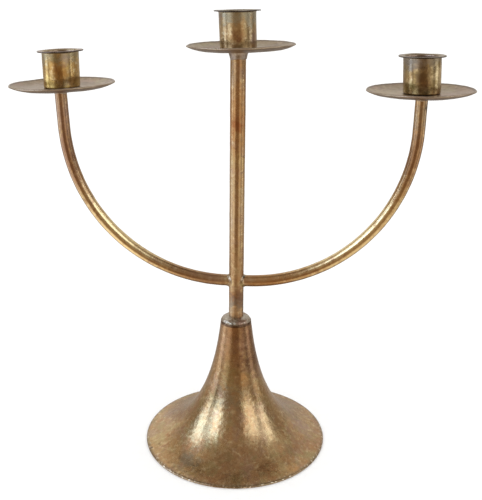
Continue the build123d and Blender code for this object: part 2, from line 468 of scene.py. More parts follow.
def stained_and_highlighted(nodes, colour, stains_and_highlights):
    """Single ragged stains, and some painted highlights, over a colour.

    Each is a middle in mm from the part's origin, a radius in mm, a tone and a strength.
    """
    shifted = nodes.moved((0.5, 0.9, 0.2))
    ragged = nodes.minus(nodes.noise(4 * MM, 5, 0.6, place=shifted), 0.5)
    for middle, radius, tone, strength in stains_and_highlights:
        away = nodes.away(tuple(v * MM for v in middle))
        edge = nodes.plus(away, nodes.times(ragged, STAIN_RAGGED * radius * MM))
        outside = STAIN_OUTSIDE * radius * MM
        inside = STAIN_INSIDE * radius * MM
        colour = nodes.mix(nodes.ramp(edge, outside, inside, 0.0, strength), colour, tone)
    return colour


def marked(nodes, colour, name, strength, tone):
    """A tone over a colour, where the mesh's own value of this name is high."""
    return nodes.mix(nodes.times(nodes.value(name), strength), colour, tone)


def wander(nodes, size, reach, detail, rough=0.55):
    """A distance that wanders about zero, by up to about half its reach either way."""
    return nodes.times(nodes.minus(nodes.noise(size, detail, rough), 0.5), reach)


def finish_metal(nodes, shader, colour, dirt, gloss, bumps, dull=None):
    """Set a metal's colour, its roughness and its finest relief.

    The gloss is a lowest and a highest roughness, and dirty or dull places are rougher still.
    The bumps are too fine for the mesh: each a size and a depth.
    """
    rough = nodes.ramp(nodes.noise(4 * MM, 5), 0.3, 0.7, *gloss)
    rough = nodes.plus(rough, nodes.times(dirt, DIRT_ROUGHNESS))
    if dull is not None:
        rough = nodes.plus(rough, nodes.times(dull, DULL_ROUGHNESS))
    normal = None
    for size, depth in bumps:
        normal = nodes.bump(nodes.noise(size, 5, 0.6), depth, normal)
    nodes.put(shader, Base_Color=colour, Metallic=1.0, Roughness=rough, Normal=normal)


# ======== tones and stains ========
OLIVE = (0.36, 0.31, 0.15)
PALE_OLIVE = (0.50, 0.41, 0.22)
GREY_GREEN = (0.27, 0.26, 0.19)
PINK_GREY = (0.46, 0.34, 0.27)
MAUVE = (0.38, 0.25, 0.20)
RUST = (0.40, 0.21, 0.10)
ORANGE = (0.58, 0.34, 0.14)
UMBER = (0.23, 0.13, 0.07)
BLACK = (0.03, 0.025, 0.02)

# Each metal's tones: grime, most of it, its clouds and its rubbed patches.
FOOT_TONES = ((0.20, 0.115, 0.055), (0.47, 0.32, 0.155), (0.46, 0.29, 0.15), (0.68, 0.54, 0.33))
ROD_TONES = ((0.17, 0.09, 0.05), (0.50, 0.34, 0.17), (0.46, 0.31, 0.17), (0.68, 0.53, 0.32))
PAN_TONES = ((0.18, 0.13, 0.09), (0.33, 0.255, 0.19), (0.34, 0.27, 0.18), (0.44, 0.36, 0.28))
GOLD = ((0.20, 0.12, 0.045), (0.58, 0.44, 0.19), (0.54, 0.37, 0.15), (0.80, 0.68, 0.42))
DULL_GOLD = ((0.18, 0.11, 0.06), (0.52, 0.42, 0.25), (0.48, 0.35, 0.20), (0.75, 0.66, 0.46))
OLIVE_GOLD = ((0.12, 0.09, 0.05), (0.38, 0.30, 0.155), (0.32, 0.25, 0.125), (0.62, 0.52, 0.33))
SOLDER_TONES = ((0.12, 0.09, 0.07), (0.42, 0.385, 0.32), (0.42, 0.365, 0.30), (0.60, 0.56, 0.49))
SMALL_TONES = ((0.2, 0.12, 0.05), (0.5, 0.35, 0.17), (0.48, 0.32, 0.17), (0.66, 0.5, 0.28))

# Films of tarnish, each a tone, a size and a strength.
FOOT_FILMS = [
    (PALE_OLIVE, 22 * MM, 0.60),
    (MAUVE, 17 * MM, 0.50),
    (RUST, 12 * MM, 0.40),
    (OLIVE, 9 * MM, 0.50),
]
ROD_FILMS = [(PALE_OLIVE, 14 * MM, 0.40), (MAUVE, 11 * MM, 0.40), (RUST, 9 * MM, 0.35)]
PAN_FILMS = [
    ((0.36, 0.31, 0.19), 16 * MM, 0.75),
    ((0.37, 0.25, 0.20), 12 * MM, 0.70),
    ((0.20, 0.16, 0.12), 5 * MM, 0.50),
]
CUP_FILMS = [((0.34, 0.19, 0.08), 9 * MM, 0.45), ((0.44, 0.36, 0.20), 7 * MM, 0.40)]
SOLDER_FILMS = [((0.34, 0.30, 0.20), 5 * MM, 0.5), ((0.30, 0.17, 0.11), 4 * MM, 0.5)]

# Stains and painted highlights, each a middle and a radius in mm, a tone and a strength.
FOOT_STAINS_AND_HIGHLIGHTS = [
    # The first two are painted highlights: the cream left band and the orange-gold right band of
    # reflected light on the skirt.
    ((-24, -28, 22), 20, (0.43, 0.375, 0.23), 0.8),
    ((22, -26, 24), 17, (0.45, 0.34, 0.195), 0.65),
    ((-62.1, -28.5, 2.1), 1.5, BLACK, 0.95),
    ((-30, -47, 7), 12, GREY_GREEN, 0.62),
    ((-57, -19, 5), 10, PALE_OLIVE, 0.65),
    ((-54, 15, 7), 9, PINK_GREY, 0.6),
    ((-46, -40, 4), 7, RUST, 0.4),
    ((-3, -48, 12), 13, UMBER, 0.35),
    ((-9, -63, 3), 7, RUST, 0.55),
    ((33, -59, 2.5), 7, RUST, 0.5),
    ((47, -45, 3), 6, ORANGE, 0.55),
    ((52, 2, 9), 13, MAUVE, 0.65),
    ((60, -28, 3), 7, OLIVE, 0.6),
    ((42, -30, 9), 8, GREY_GREEN, 0.35),
    ((8, -17, 60), 6.5, ORANGE, 0.7),
    ((-3, -23, 46), 12, GREY_GREEN, 0.55),
    ((-2, -17, 64), 8, OLIVE, 0.55),
    ((7, -12, 84), 10, MAUVE, 0.6),
    ((0, -12, 96), 5, RUST, 0.55),
    ((15, -5, 77), 17, UMBER, 0.9),
    ((14, -8, 70), 15, (0.17, 0.09, 0.055), 0.75),
    ((11, -9, 92), 13, (0.2, 0.1, 0.06), 0.9),
    ((17, -3, 62), 9, MAUVE, 0.5),
    ((-20, -10, 51), 5, PINK_GREY, 0.6),
    ((24, -27, 26), 4, UMBER, 0.45),
]
ROD_STAINS_AND_HIGHLIGHTS = [
    # Rubbed pale brass on the bends, its tone also made paler to paint the cream colour of the
    # highlight.
    ((-82, 0, 166), 48, (0.8, 0.68, 0.4), 0.75),
    ((85, 0, 168), 50, (0.8, 0.68, 0.4), 0.75),
    ((0, -5, 252), 26, (0.44, 0.24, 0.1), 0.65),
    ((0.3, -5.4, 248), 7, (0.32, 0.12, 0.05), 0.65),
    ((-6, -3, 190), 40, (0.52, 0.42, 0.29), 0.45),
    ((0.7, -5.3, 119), 8, (0.28, 0.13, 0.07), 0.7),
    ((6, -4, 117), 14, (0.17, 0.11, 0.08), 0.85),
    ((-5, -3, 112), 10, (0.36, 0.33, 0.27), 0.6),
    ((22, -2, 134), 22, (0.42, 0.22, 0.09), 0.75),
    ((-26, -2, 135), 26, (0.33, 0.19, 0.11), 0.75),
    ((-120, -2, 226), 30, (0.3, 0.18, 0.13), 0.8),
    ((-124, -2, 256), 22, (0.36, 0.25, 0.19), 0.75),
    ((123, -2, 230), 30, (0.32, 0.19, 0.11), 0.8),
    ((124, -2, 258), 20, (0.34, 0.27, 0.19), 0.75),
    ((127, -3, 262), 3, BLACK, 0.8),
    ((-2, -5, 280), 10, (0.4, 0.33, 0.26), 0.45),
]
PAN_STAINS = [
    ((101, 4, 271), 16, (0.5, 0.41, 0.27), 0.7),
    ((152, 0, 272), 14, (0.44, 0.34, 0.27), 0.6),
    ((-146, 0, 269), 14, (0.33, 0.26, 0.22), 0.6),
    ((-100, 2, 272), 14, (0.46, 0.36, 0.25), 0.6),
    ((28, 0, 299), 14, (0.44, 0.33, 0.27), 0.6),
    ((-28, -4, 298), 12, (0.36, 0.3, 0.25), 0.55),
]
SOLDER_STAINS = [
    ((0, -2, 132), 16, (0.38, 0.28, 0.16), 0.85),
    ((5.6, -2.7, 136.2), 2, BLACK, 0.95),
    ((-4.6, -3.6, 294.6), 1.6, BLACK, 0.95),
    ((5, -9, 102), 5, (0.26, 0.16, 0.12), 0.8),
    ((-4.7, -4.6, 134.2), 2, (0.62, 0.55, 0.47), 0.8),
    ((4.9, -4.4, 134.5), 1.3, (0.66, 0.52, 0.42), 0.8),
    ((4.5, -3.5, 130), 3, OLIVE, 0.6),
    ((0, -5, 292), 10, (0.25, 0.2, 0.18), 0.8),
]

# Each cup: its metal, the tone of its lip, the tone of the patina that hangs from the lip and
# how far that hangs down, and its stains and painted highlights.
CUP_LOOKS = {
    "left": (GOLD, (0.27, 0.175, 0.15), (0.38, 0.34, 0.23), 9 * MM, [
        ((-121, -12, 290), 4, (0.3, 0.28, 0.16), 0.7),
        ((-114, -12, 290), 6, (0.4, 0.33, 0.29), 0.7),
        ((-119, -12, 283), 6, (0.32, 0.18, 0.06), 0.6),
        ((-114, -12, 274), 4, (0.34, 0.29, 0.24), 0.6),
        # A painted highlight low on the cup's front-left side.
        ((-127, -9, 273), 7, (0.86, 0.68, 0.26), 0.85),
    ]),
    "center": (DULL_GOLD, (0.25, 0.21, 0.185), (0.38, 0.37, 0.29), 11 * MM, [
        ((-4.3, -11.4, 312.8), 1.4, (0.22, 0.19, 0.09), 0.8),
        ((1, -12, 306), 5, (0.28, 0.14, 0.08), 0.7),
        ((11, -6, 306), 6, (0.34, 0.25, 0.22), 0.7),
        ((-12, -5, 318), 5, (0.36, 0.3, 0.29), 0.6),
    ]),
    "right": (OLIVE_GOLD, (0.29, 0.235, 0.165), (0.3, 0.26, 0.2), 8 * MM, [
        ((117, -11, 291), 5, (0.32, 0.29, 0.27), 0.7),
        ((119, -12, 284), 6, (0.22, 0.17, 0.09), 0.6),
        ((114, -10, 277), 4, (0.33, 0.3, 0.12), 0.6),
        ((122, -12, 279), 5, (0.28, 0.15, 0.08), 0.6),
        ((121, -13, 284), 11, (0.17, 0.125, 0.075), 0.75),
        # A painted highlight on the cup's front-right side.
        ((132, -8, 285), 8, (0.8, 0.69, 0.45), 0.9),
        ((111, -8, 292), 8, (0.27, 0.255, 0.235), 0.7),
    ]),
}


# ======== materials ========
def foot_brass():
    """Hammered sheet: brown in the dents and up the neck, with a dark edge knocked bright, painted
    highlights on the skirt and a painted shadow under the neck's solder.
    """
    material, nodes, shader = new_material("hammered_brass")
    height = nodes.split()["Z"]
    colour, dirt = weathered(nodes, FOOT_TONES, (24 * MM, 3.2 * MM, 1.2 * MM))
    colour = tarnished(nodes, colour, FOOT_FILMS)
    drift = wander(nodes, 14 * MM, 40 * MM, 3)
    neck = nodes.ramp(nodes.plus(height, drift), 44 * MM, 84 * MM, 0.0, 0.55)
    colour = nodes.mix(neck, colour, (0.29, 0.16, 0.085))
    colour = stained_and_highlighted(nodes, colour, FOOT_STAINS_AND_HIGHLIGHTS)
    hollow = nodes.ramp(nodes.value("dent"), 0.25, 0.85, 0.0, 0.28)
    colour = nodes.mix(hollow, colour, (0.28, 0.17, 0.085))
    streaks = nodes.noise(0.5 * MM, 2, place=nodes.stretched((1.0, 0.12, 1.0), (0, 0, 0.9)))
    scratches = nodes.ramp(streaks, 0.60, 0.66, 0.0, 0.35)
    colour = nodes.mix(scratches, colour, (0.66, 0.54, 0.38))
    # Painted shadow: the foot's top ring darkened where the neck's solder shades it.
    shadow_under_solder = nodes.ramp(height, 97.9 * MM, 98.7 * MM, 0.0, 0.85)
    colour = nodes.mix(shadow_under_solder, colour, (0.10, 0.06, 0.04))
    edge = nodes.ramp(height, 2.4 * MM, 1.5 * MM)
    colour = nodes.mix(nodes.times(edge, 0.55), colour, (0.15, 0.13, 0.10))
    nicks = nodes.ramp(nodes.noise(1.9 * MM, 3), 0.54, 0.64, 0.0, 0.80)
    groups = nodes.noise(40 * MM, 2, place=nodes.moved((0.2, 0.6, 0.1)))
    nicks = nodes.times(nicks, nodes.ramp(groups, 0.40, 0.52))
    colour = nodes.mix(nodes.times(edge, nicks), colour, (0.95, 0.87, 0.72))
    bumps = [(2.6 * MM, 0.11 * MM), (1.1 * MM, 0.025 * MM)]
    finish_metal(nodes, shader, colour, dirt, (0.19, 0.28), bumps)
    return material


def rod_brass():
    """Drawn rod: rubbed bright and smooth on the bends, where the pale tone also paints the
    highlight's colour, brown and dull at the crossing.
    """
    material, nodes, shader = new_material("rod_brass")
    colour, dirt = weathered(nodes, ROD_TONES, (30 * MM, 3.4 * MM, 1.1 * MM))
    colour = tarnished(nodes, colour, ROD_FILMS)
    colour = stained_and_highlighted(nodes, colour, ROD_STAINS_AND_HIGHLIGHTS)
    below_crossing = (0, 0, 122 * MM)
    dull = nodes.ramp(nodes.away(below_crossing), 50 * MM, 14 * MM, 0.0, 1.5)
    bumps = [(1.8 * MM, 0.07 * MM), (0.7 * MM, 0.02 * MM)]
    finish_metal(nodes, shader, colour, dirt, (0.15, 0.24), bumps, dull)
    return material


def pan_brass():
    """Dulled sheet, with painted shade underneath and inside the rim, and a rubbed edge that also
    carries a painted highlight.
    """
    material, nodes, shader = new_material("pan_brass")
    colour, dirt = weathered(nodes, PAN_TONES, (26 * MM, 3.0 * MM, 1.1 * MM))
    colour = tarnished(nodes, colour, PAN_FILMS)
    colour = stained_and_highlighted(nodes, colour, PAN_STAINS)
    # Painted shade: the pan's underside darker.
    colour = marked(nodes, colour, "under", 0.75, (0.20, 0.15, 0.115))
    # Painted shade: a dark band inside the rim, where its inner wall lies in shadow.
    colour = marked(nodes, colour, "grime_and_shade", 0.85, (0.12, 0.095, 0.075))
    # The rim's edge paler: rubbed, and also a painted highlight along it.
    colour = marked(nodes, colour, "edge", 0.55, (0.42, 0.35, 0.28))
    bumps = [(2.8 * MM, 0.11 * MM), (0.8 * MM, 0.025 * MM)]
    finish_metal(nodes, shader, colour, dirt, (0.30, 0.40), bumps)
    return material


def cup_brass(seat, tones, lip_tone, patina, patina_depth, stains_and_highlights):
    """Drawn cup, rubbed bright, with a duller patina that hangs down from the lip."""
    material, nodes, shader = new_material(f"cup_brass_{seat.name}")
    colour, dirt = weathered(nodes, tones, (16 * MM, 3.4 * MM, 1.1 * MM))
    colour = tarnished(nodes, colour, CUP_FILMS)
    up = seat.axes[2]
    top = float(seat.origin @ up) + seat.cup_foot + seat.cup_height
    below_lip = nodes.minus(top, nodes.along(tuple(up)))
    ragged = wander(nodes, 5 * MM, 26 * MM, 5, 0.6)
    dull = nodes.ramp(nodes.plus(below_lip, ragged), patina_depth, 0.35 * patina_depth, 0.0, 0.85)
    colour = nodes.mix(dull, colour, patina)
    colour = stained_and_highlighted(nodes, colour, stains_and_highlights)
    above_foot = nodes.minus(seat.cup_height, below_lip)
    foot = nodes.ramp(above_foot, 1.4 * MM, 0.5 * MM, 0.0, 0.60)
    colour = nodes.mix(foot, colour, (0.17, 0.11, 0.05))
    colour = marked(nodes, colour, "lip", 0.85, lip_tone)
    colour = marked(nodes, colour, "edge", 0.90, (0.08, 0.07, 0.065))
    colour = marked(nodes, colour, "inside", 0.85, (0.22, 0.15, 0.12))
    bumps = [(2.6 * MM, 0.07 * MM), (0.8 * MM, 0.018 * MM)]
    finish_metal(nodes, shader, colour, dirt, (0.13, 0.21), bumps, dull)
    return material


def soft_solder():
    """Dull grey solder, browned in patches, with black flux burnt into a few corners."""
    material, nodes, shader = new_material("soft_solder")
    colour, dirt = weathered(nodes, SOLDER_TONES, (9 * MM, 2.0 * MM, 0.8 * MM))
    colour = tarnished(nodes, colour, SOLDER_FILMS)
    colour = stained_and_highlighted(nodes, colour, SOLDER_STAINS)
    bumps = [(1.8 * MM, 0.16 * MM), (0.6 * MM, 0.03 * MM)]
    finish_metal(nodes, shader, colour, dirt, (0.28, 0.42), bumps)
    return material


def small_brass(name):
    """The hidden bush and the screws."""
    material, nodes, shader = new_material(name)
    colour, dirt = weathered(nodes, SMALL_TONES, (8 * MM, 1.6 * MM, 0.7 * MM))
    bumps = [(0.5 * MM, 0.03 * MM)]
    finish_metal(nodes, shader, colour, dirt, (0.25, 0.4), bumps)
    return material


# ======== the foot ========
def flare(edge, neck, pulls):
    """The foot's section between a point on its edge and a point on its neck."""
    skirt = np.radians(SKIRT_SLOPE)
    throat = np.radians(NECK_SLOPE)
    first = np.array(edge) + pulls[0] * np.array([-np.cos(skirt), np.sin(skirt)])
    second = np.array(neck) + pulls[1] * np.array([np.sin(throat), -np.cos(throat)])
    return bezier((edge, first, second, neck), 400)


def make_foot():
    """The hollow trumpet, with each hammer blow as a shallow dent."""
    _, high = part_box("base_trumpet")
    radius = high.x
    top = high.z
    rng = np.random.default_rng(HAMMER_SEED)
    inner_ends = ((radius - EDGE_WIDTH, 0), (NECK_RADIUS - NECK_WALL, top))
    outer = evenly(flare((radius, EDGE_HEIGHT), (NECK_RADIUS, top), OUTER_PULLS), 0.8 * MM)
    inner = evenly(flare(*inner_ends, INNER_PULLS), 3 * MM)
    round_middle = (radius - EDGE_ROUND, EDGE_HEIGHT - EDGE_ROUND_DROP)
    round_edge = arc(round_middle, EDGE_ROUND, 0, 75, 3)
    standing = np.array([(radius + out, up) for out, up in STANDING_RING])
    section = np.concatenate([standing, round_edge, outer[1:], inner[::-1]])
    rings = turn(section, AROUND["foot"])
    normals = ring_normals(rings, closed=True)
    first = len(standing) + len(round_edge)
    last = len(section) - len(inner)
    blows = hammer_blows(outer, rng)
    depth = np.zeros(rings.shape[:2])
    depth[first:last] = dents(rings[first:last], blows, rng)
    height = rings[..., 2]
    fade = 0.3 + 0.7 * smoothstep(0, 4 * MM, height)
    move = -BLOW_DEPTH * depth * fade
    move += waves(rings, FOOT_WAVES, [SEEDS["foot"]]) * smoothstep(1 * MM, 8 * MM, height)
    move[:len(standing)] = 0
    rings = rings + normals * move[..., None]
    piece = ring_mesh("foot", rings, closed=True)
    add_value(piece, "dent", depth)
    return piece


# ======== lights ========
class Seat:
    """A light's own frame: origin on the rod's axis at its top, Z out of the seat."""

    def __init__(self, name):
        mount = MOUNTS[f"candle_{name}"]
        self.name = name
        self.number = LIGHTS.index(name)
        self.bore = mount["dims"]["r_mm"] * MM
        up = np.array(mount["axis"])
        along = np.array([up[2], 0, -up[0]])
        self.axes = np.stack([along, [0, 1, 0], up])
        self.slope = -up[0] / up[2]             # how fast its level rises along X
        self.origin = np.array(mount["pos_m"])
        screw = self.local(self.points(f"cup_screw_{name}"))
        pan = self.local(self.points(f"drip_pan_{name}"))
        cup = self.local(self.points(f"candle_cup_{name}"))
        axis, _ = span(screw[:, 0])
        shift = np.array([axis, 0, pan[:, 2].min()])
        self.origin = self.origin + shift @ self.axes
        pan = pan - shift
        cup = cup - shift
        self.pan_shift, self.pan_radius = span(pan[:, 0])
        self.cup_shift, self.lip_radius = span(cup[:, 0])
        self.cup_foot = cup[:, 2].min()
        self.cup_height = cup[:, 2].max() - self.cup_foot

    @staticmethod
    def points(node):
        return np.array([v.co for v in NODES[node].data.vertices])

    def local(self, points):
        return (points - self.origin) @ self.axes.T

    def placed(self, rings):
        return rings @ self.axes + self.origin


def make_pan(seat):
    """A shallow dish of sheet, flat in the middle, with its rim turned up."""
    curl = np.radians(PAN_CURL)
    outer_radius = (seat.pan_radius - PAN_FLOOR_RADIUS) / np.sin(curl)
    inner_radius = outer_radius - PAN_SHEET
    centre = (PAN_FLOOR_RADIUS, outer_radius)
    step = 1.2 * MM
    under = straight((SCREW_RADIUS, 0), (PAN_FLOOR_RADIUS, 0), step)
    under_curl = arc(centre, outer_radius, -90, -90 + PAN_CURL, 12)
    floor_curl = arc(centre, inner_radius, -90 + PAN_CURL, -90, 16)
    rim_bulge = RIM_ROUND * np.array([np.cos(curl), np.sin(curl)])
    rim_middle = (under_curl[-1] + floor_curl[0]) / 2 + rim_bulge
    floor = straight((PAN_FLOOR_RADIUS, PAN_SHEET), (SCREW_RADIUS, PAN_SHEET), step)
    section = np.concatenate([
        [(SCREW_RADIUS, 0)],
        under,
        under_curl,
        [rim_middle],
        floor_curl,
        floor,
        [(SCREW_RADIUS, PAN_SHEET)],
    ])
    drift = seat.pan_shift * smoothstep(3 * MM, 12 * MM, section[:, 0])
    rings = turn(section, AROUND["pan"], drift)
    seed = SEEDS["pan"] + seat.number
    from_axis = np.hypot(rings[..., 0], rings[..., 1])
    rise = waves(rings, PAN_WAVES, (seed, seed)) * smoothstep(14 * MM, seat.pan_radius, from_axis)
    rings[..., 2] += rise
    piece = ring_mesh(f"pan_{seat.name}", seat.placed(rings), closed=True)
    rim = 1 + len(under) + len(under_curl)
    index = on_rings(np.arange(len(section)), rings)
    radius = on_rings(section[:, 0], rings)
    near_rim = smoothstep(seat.pan_radius - 2.4 * MM, seat.pan_radius - 1.0 * MM, radius)
    # The pan's marks: painted shade underneath and inside the rim, and the rim's edge, rubbed and
    # also a painted highlight.
    add_value(piece, "under", index < rim)
    add_value(piece, "edge", np.abs(index - rim) <= 1)
    add_value(piece, "grime_and_shade", near_rim * (index > rim + 1))
    return piece


def cup_section(seat):
    """A cup's wall, floor and turned-out lip, from its hole round to its hole again."""
    bore = seat.bore
    wall = bore + CUP_WALL
    top = seat.cup_height
    corner = (wall - CUP_CORNER, CUP_CORNER)
    bend = bore + LIP_BEND
    lip_flat = seat.lip_radius - LIP_FLAT_END
    step = 0.9 * MM
    return np.concatenate([
        [(SCREW_RADIUS, 0)],
        straight((SCREW_RADIUS, 0), (wall - CUP_CORNER, 0), step),
        arc(corner, CUP_CORNER, -90, 0, 6),
        straight((wall, CUP_CORNER), (wall, top - LIP_BEND), step),
        arc((bend, top - LIP_BEND), LIP_BEND - CUP_WALL, 180, 90, 4),
        straight((bend, top - CUP_WALL), (lip_flat, top - CUP_WALL), step),
        arc((seat.lip_radius - LIP_ROUND, top - CUP_WALL / 2), LIP_ROUND, -70, 70, 4),
        straight((lip_flat, top), (bend, top), step),
        arc((bend, top - LIP_BEND), LIP_BEND, 90, 180, 6),
        straight((bore, top - LIP_BEND), (bore, CUP_CORNER), step),
        arc(corner, CUP_CORNER - CUP_WALL, 0, -90, 5),
        straight((wall - CUP_CORNER, CUP_WALL), (SCREW_RADIUS, CUP_WALL), step),
        [(SCREW_RADIUS, CUP_WALL)],
    ])


def make_cup(seat):
    """A candle cup with slightly uneven walls and lip, leaning a little."""
    section = cup_section(seat)
    wall = seat.bore + CUP_WALL
    top = seat.cup_height
    drift = seat.cup_shift * smoothstep(3 * MM, wall - CUP_CORNER, section[:, 0])
    rings = turn(section, AROUND["cup"], drift)
    seed = SEEDS["cup"] + seat.number
    height = rings[..., 2]
    from_axis = np.hypot(rings[..., 0], rings[..., 1])
    radial = rings * np.array([1, 1, 0])
    radial = radial / np.linalg.norm(radial, axis=2, keepdims=True)
    move = waves(rings, CUP_WAVES, (seed, seed)) * smoothstep(0.5 * MM, 4 * MM, height)
    lip = smoothstep(top - LIP_HEIGHT, top, height) * smoothstep(wall, seat.lip_radius, from_axis)
    rings = rings + radial * move[..., None]
    rings[..., 2] += waves(rings, LIP_WAVES, [seed + 3]) * lip
    rings[..., 0] += np.tan(np.radians(CUP_LEAN[seat.name])) * (height - top / 2)
    rings[..., 2] += seat.cup_foot
    piece = ring_mesh(f"cup_{seat.name}", seat.placed(rings), closed=True)
    radius = on_rings(section[:, 0], rings)
    level = on_rings(section[:, 1], rings)
    on_lip = (radius > wall + 0.2 * MM) & (level > top - LIP_HEIGHT)
    add_value(piece, "lip", on_lip)
    add_value(piece, "edge", smoothstep(seat.lip_radius - 0.6 * MM, seat.lip_radius, radius))
    add_value(piece, "inside", (radius < seat.bore + 0.1 * MM) & (level > CUP_WALL / 2))
    return piece


# ======== solder ========
def run_solder(rings, kind, seed):
    """Make a closed ring of solder lumpy, as it ran and set."""
    move = SOLDER_ROUGH[kind] * waves(rings, SOLDER_WAVES, (seed, seed + 1))
    return rings + ring_normals(rings, closed=True) * move[..., None]


def make_neck_solder(stem_radius):
    """The domed shoulder on top of the foot's neck, round the stem."""
    low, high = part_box("neck_solder")
    inside = stem_radius - SOLDER_BITE
    top = high.z - NECK_DOME_SAG
    crest = top + NECK_DOME_RISE
    shoulder = bezier((
        (high.x, low.z),
        (high.x, low.z + 0.7 * (top - low.z)),
        (stem_radius + 0.6 * (high.x - stem_radius), top),
        (stem_radius, crest),
    ), 30)
    foot = straight((inside, low.z), (high.x, low.z), 1 * MM)
    bore = straight((inside, top), (inside, low.z), 1 * MM)
    section = np.concatenate([[(inside, low.z)], foot, shoulder, [(inside, crest)], bore])
    rings = run_solder(turn(section, AROUND["neck"]), "neck", SEEDS["neck"])
    return ring_mesh("solder_neck", rings, closed=True)


def make_pan_solder(seat, rod_radius):
    """The collar drawn up into the corner between a rod and its pan."""
    thickness, height = COLLARS[seat.name]
    inside = rod_radius - SOLDER_BITE
    tip = (rod_radius + COLLAR_TIP, -height)
    hollow = bezier((
        tip,
        (rod_radius + 0.25 * thickness, -0.5 * height),
        (rod_radius + 0.5 * thickness, -0.2 * height),
        (rod_radius + thickness, COLLAR_TOP),
    ), 18)
    end = straight((inside, -height), tip, 0.3 * MM)
    bore = straight((inside, COLLAR_TOP), (inside, -height), 0.6 * MM)
    section = np.concatenate([[(inside, -height)], end, hollow, [(inside, COLLAR_TOP)], bore])
    rings = turn(section, AROUND["fillet"])
    seed = SEEDS["collar"] + seat.number
    around = np.arctan2(rings[..., 1], rings[..., 0])
    reach = 1 + 0.25 * lumps_round(around, 0.9, seed)
    rings[..., 2] = np.where(rings[..., 2] < 0, rings[..., 2] * reach, rings[..., 2])
    rings = run_solder(rings, "collar", seed)
    return ring_mesh(f"solder_pan_{seat.name}", seat.placed(rings), closed=True)


def make_arm_solder(name, stem_radius):
    """The fillet in the corner between an arm and the stem, thicker above and below the arm."""
    low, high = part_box(f"arm_{name}")
    side = -1 if name == "left" else 1
    arm_radius = high.y
    height = low.z + arm_radius
    around = circle(AROUND["fillet"])
    seed = SEEDS["fillet"] + side
    ragged = lumps_round(around, 0.8, seed)
    upright = np.sin(around) ** 2
    below = np.clip(-np.sin(around), 0, 1)
    thick = (0.40 + 0.45 * upright + 0.25 * below + 0.12 * ragged) * MM
    reach = (1.5 + 0.3 * upright + 0.9 * below + 0.35 * ragged) * MM

    def on_stem(rho):
        """How far out the stem's surface is, at this distance from the arm's axis."""
        return np.sqrt(stem_radius**2 - (rho * np.cos(around)) ** 2)

    outside = arm_radius + thick
    inside = arm_radius - SOLDER_BITE + 0 * around
    corner = (arm_radius + 0.25 * thick, on_stem(arm_radius) + 0.25 * reach)
    tip = (arm_radius + FILLET_TIP, on_stem(arm_radius) + reach)
    rows = [(rho, on_stem(rho) - FILLET_ROOT) for rho in (inside, outside)]
    for t in np.linspace(0, 1, 10):
        rho = (1 - t) ** 2 * outside + 2 * (1 - t) * t * corner[0] + t**2 * tip[0]
        x = (1 - t) ** 2 * on_stem(outside) + 2 * (1 - t) * t * corner[1] + t**2 * tip[1]
        rows.append((rho, x))
    rows.append((inside, tip[1]))
    rings = np.stack([
        np.stack([side * x, rho * np.cos(around), height + rho * np.sin(around)], axis=1)
        for rho, x in rows
    ])
    if side < 0:
        rings = rings[:, ::-1]
    rings = run_solder(rings, "fillet", seed + 4)
    return ring_mesh(f"solder_crossing_{name}", rings, closed=True)


# ======== rods ========
def make_stem(seat):
    """The upright rod, up to its slanted end under the centre pan."""
    low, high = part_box("stem")
    radius = high.y
    heights = np.arange(low.z, seat.origin[2] - 0.5 * MM, 1 * MM)
    section = np.stack([np.full(len(heights), radius), heights], axis=1)
    last = turn(np.array([[radius, 0]]), AROUND["stem"])
    last[..., 2] = seat.origin[2] + seat.slope * last[..., 0]
    rings = np.concatenate([turn(section, AROUND["stem"]), last])
    normals = ring_normals(rings, closed=False)
    seed = SEEDS["stem"]
    move = waves(rings, STEM_WAVES, (seed, seed + 1))
    move[0] = 0
    move[-1] = 0
    rings = rings + normals * move[..., None]
    return ring_mesh("stem_rod", rings, caps=(True, True))


def arm_line(seat, height, stem_radius):
    """An arm's axis out from the stem and up, as distances from the stem's axis and heights."""
    turned = np.radians(ARM_TURN[seat.name])
    out = abs(seat.origin[0])
    rise = seat.origin[2] - (height + ARM_BEND * (1 - np.cos(turned)))
    bend_start = out - ARM_BEND * np.sin(turned) - rise / np.tan(turned)
    stub = np.stack([np.linspace(stem_radius, bend_start, 4), np.full(4, height)], axis=1)[:-1]
    angles = np.linspace(0, turned, 170)
    bend_out = bend_start + ARM_BEND * np.sin(angles)
    bend_up = height + ARM_BEND * (1 - np.cos(angles))
    bend = np.stack([bend_out, bend_up], axis=1)
    tip = np.array([out, seat.origin[2]])
    return np.concatenate([stub, bend, straight(bend[-1], tip, 1 * MM), [tip]])


def make_arm(seat, stem_radius):
    """A bent rod from the stem's surface to its slanted end under the pan."""
    low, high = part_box(f"arm_{seat.name}")
    side = -1 if seat.name == "left" else 1
    radius = high.y
    line = arm_line(seat, low.z + radius, stem_radius)
    along = np.gradient(line, axis=0)
    along /= np.linalg.norm(along, axis=1, keepdims=True)
    around = circle(AROUND["arm"])
    outward = radius * np.cos(around)
    x = line[:, 0:1] - along[:, 1:2] * outward
    y = np.broadcast_to(radius * np.sin(around), x.shape)
    z = line[:, 1:2] + along[:, 0:1] * outward
    rings = np.stack([side * x, y, z], axis=2)
    rings[-1, :, 2] = seat.origin[2] + seat.slope * (rings[-1, :, 0] - seat.origin[0])
    normals = ring_normals(rings, closed=False)
    if side > 0:
        rings = rings[:, ::-1]
        normals = -normals[:, ::-1]
    seed = SEEDS["arm"] + side
    move = waves(rings, ARM_WAVES, (seed, seed + 2))
    move[-1] = 0
    rings = rings + normals * move[..., None]
    rings[0, :, 0] = side * np.sqrt(stem_radius**2 - rings[0, :, 1] ** 2)
    return ring_mesh(f"arm_rod_{seat.name}", rings, caps=(True, True))


